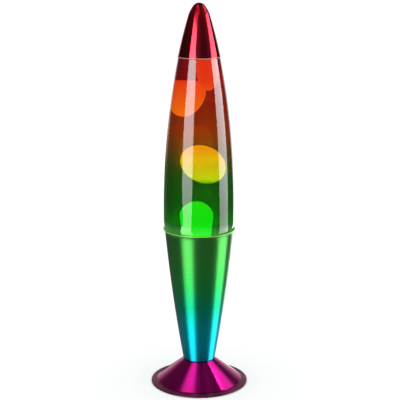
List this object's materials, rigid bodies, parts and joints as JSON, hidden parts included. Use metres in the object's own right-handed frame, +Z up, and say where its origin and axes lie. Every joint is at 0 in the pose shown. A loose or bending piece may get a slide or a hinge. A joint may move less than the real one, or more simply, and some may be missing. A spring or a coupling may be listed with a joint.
{
  "type": "liquid motion lamp",
  "caption": "Tall liquid motion lamp: a tinted glass bottle of liquid and floating wax stands in a spun metal cone on a flared foot, under a pointed metal cap.",
  "frame": {"origin": "on the table under the middle of the foot", "axes": "+Z up along the lamp's axis, front towards -Y, lead inlet at the back towards +Y"},
  "size_m": [0.1072, 0.1072, 0.4197],
  "materials": {
    "foot_sheet": "anodised magenta spun aluminium",
    "cone_sheet": "anodised green to turquoise spun aluminium",
    "cap_sheet": "anodised red spun aluminium",
    "tinted_glass": "clear bottle glass tinted red at the top to green at the foot",
    "clear_liquid": "clear liquid",
    "glowing_wax": "pale wax lit from below",
    "plated_steel": "zinc plated steel",
    "crown_steel": "tinplate",
    "seal": "soft sealing plastic",
    "holder_plastic": "black moulded thermoset",
    "insert_ceramic": "glazed white ceramic",
    "contact_brass": "brass",
    "bulb_glass": "frosted reflector glass",
    "bulb_metal": "plain aluminium",
    "bulb_black": "black insulating glass",
    "stem_glass": "clear glass",
    "wire": "nickel and tungsten wire",
    "cover_plastic": "black sheet plastic",
    "soft_rubber": "black rubber"
  },
  "bodies": {
    "base": {"foot_cone": "foot_sheet", "cord_grommet": "soft_rubber", "bottom_cover": "cover_plastic", "foot_pads": "soft_rubber", "waist_tube": "plated_steel", "waist_nuts": "plated_steel", "waist_washers": "plated_steel", "upper_cone": "cone_sheet", "holder_cap": "holder_plastic", "holder_insert": "insert_ceramic", "holder_skirt": "holder_plastic", "screw_shell": "contact_brass", "centre_contact": "contact_brass", "terminal_screws": "contact_brass"},
    "bulb_button": {"bulb_tip": "bulb_metal"},
    "bulb": {"bulb_insulator": "bulb_black", "bulb_cap": "bulb_metal", "bulb_glass": "bulb_glass", "bulb_stem": "stem_glass", "bulb_leads": "wire", "bulb_filament": "wire"},
    "globe": {"globe_glass": "tinted_glass", "crown_liner": "seal", "crown_closure": "crown_steel", "wax_pool": "glowing_wax", "heat_coil": "plated_steel", "liquid_fill": "clear_liquid"},
    "middle_lump": {"wax_middle": "glowing_wax"},
    "upper_lump": {"wax_upper": "glowing_wax"},
    "top_lump": {"wax_top": "glowing_wax"},
    "cap": {"top_cap": "cap_sheet"}
  },
  "joints": [
    {"name": "globe_lift", "type": "slide", "parent": "base", "child": "globe", "axis": [0, 0, 1], "range_m": [0, 0.08]},
    {"name": "cap_lift", "type": "slide", "parent": "globe", "child": "cap", "axis": [0, 0, 1], "range_m": [0, 0.06]},
    {"name": "bulb_advance", "type": "slide", "parent": "base", "child": "bulb_button", "axis": [0, 0, 1], "range_m": [0, 0.0115]},
    {"name": "bulb_turn", "type": "hinge", "parent": "bulb_button", "child": "bulb", "pos_m": [0, 0, 0.06], "axis": [0, 0, 1], "range_deg": [0, 1440]},
    {"name": "middle_wax_drift", "type": "slide", "parent": "globe", "child": "middle_lump", "axis": [0, 0, 1], "range_m": [-0.008, 0.008], "deforming": ["liquid_fill"]},
    {"name": "upper_wax_drift", "type": "slide", "parent": "globe", "child": "upper_lump", "axis": [0.158, 0, 0.9874], "range_m": [-0.008, 0.003], "deforming": ["liquid_fill"]},
    {"name": "top_wax_drift", "type": "slide", "parent": "globe", "child": "top_lump", "axis": [0, 0, 1], "range_m": [-0.006, 0], "deforming": ["liquid_fill"]}
  ],
  "couplings": [
    {"joint": "bulb_advance", "follows": "bulb_turn", "m_per_rad": 0.00044882}
  ]
}
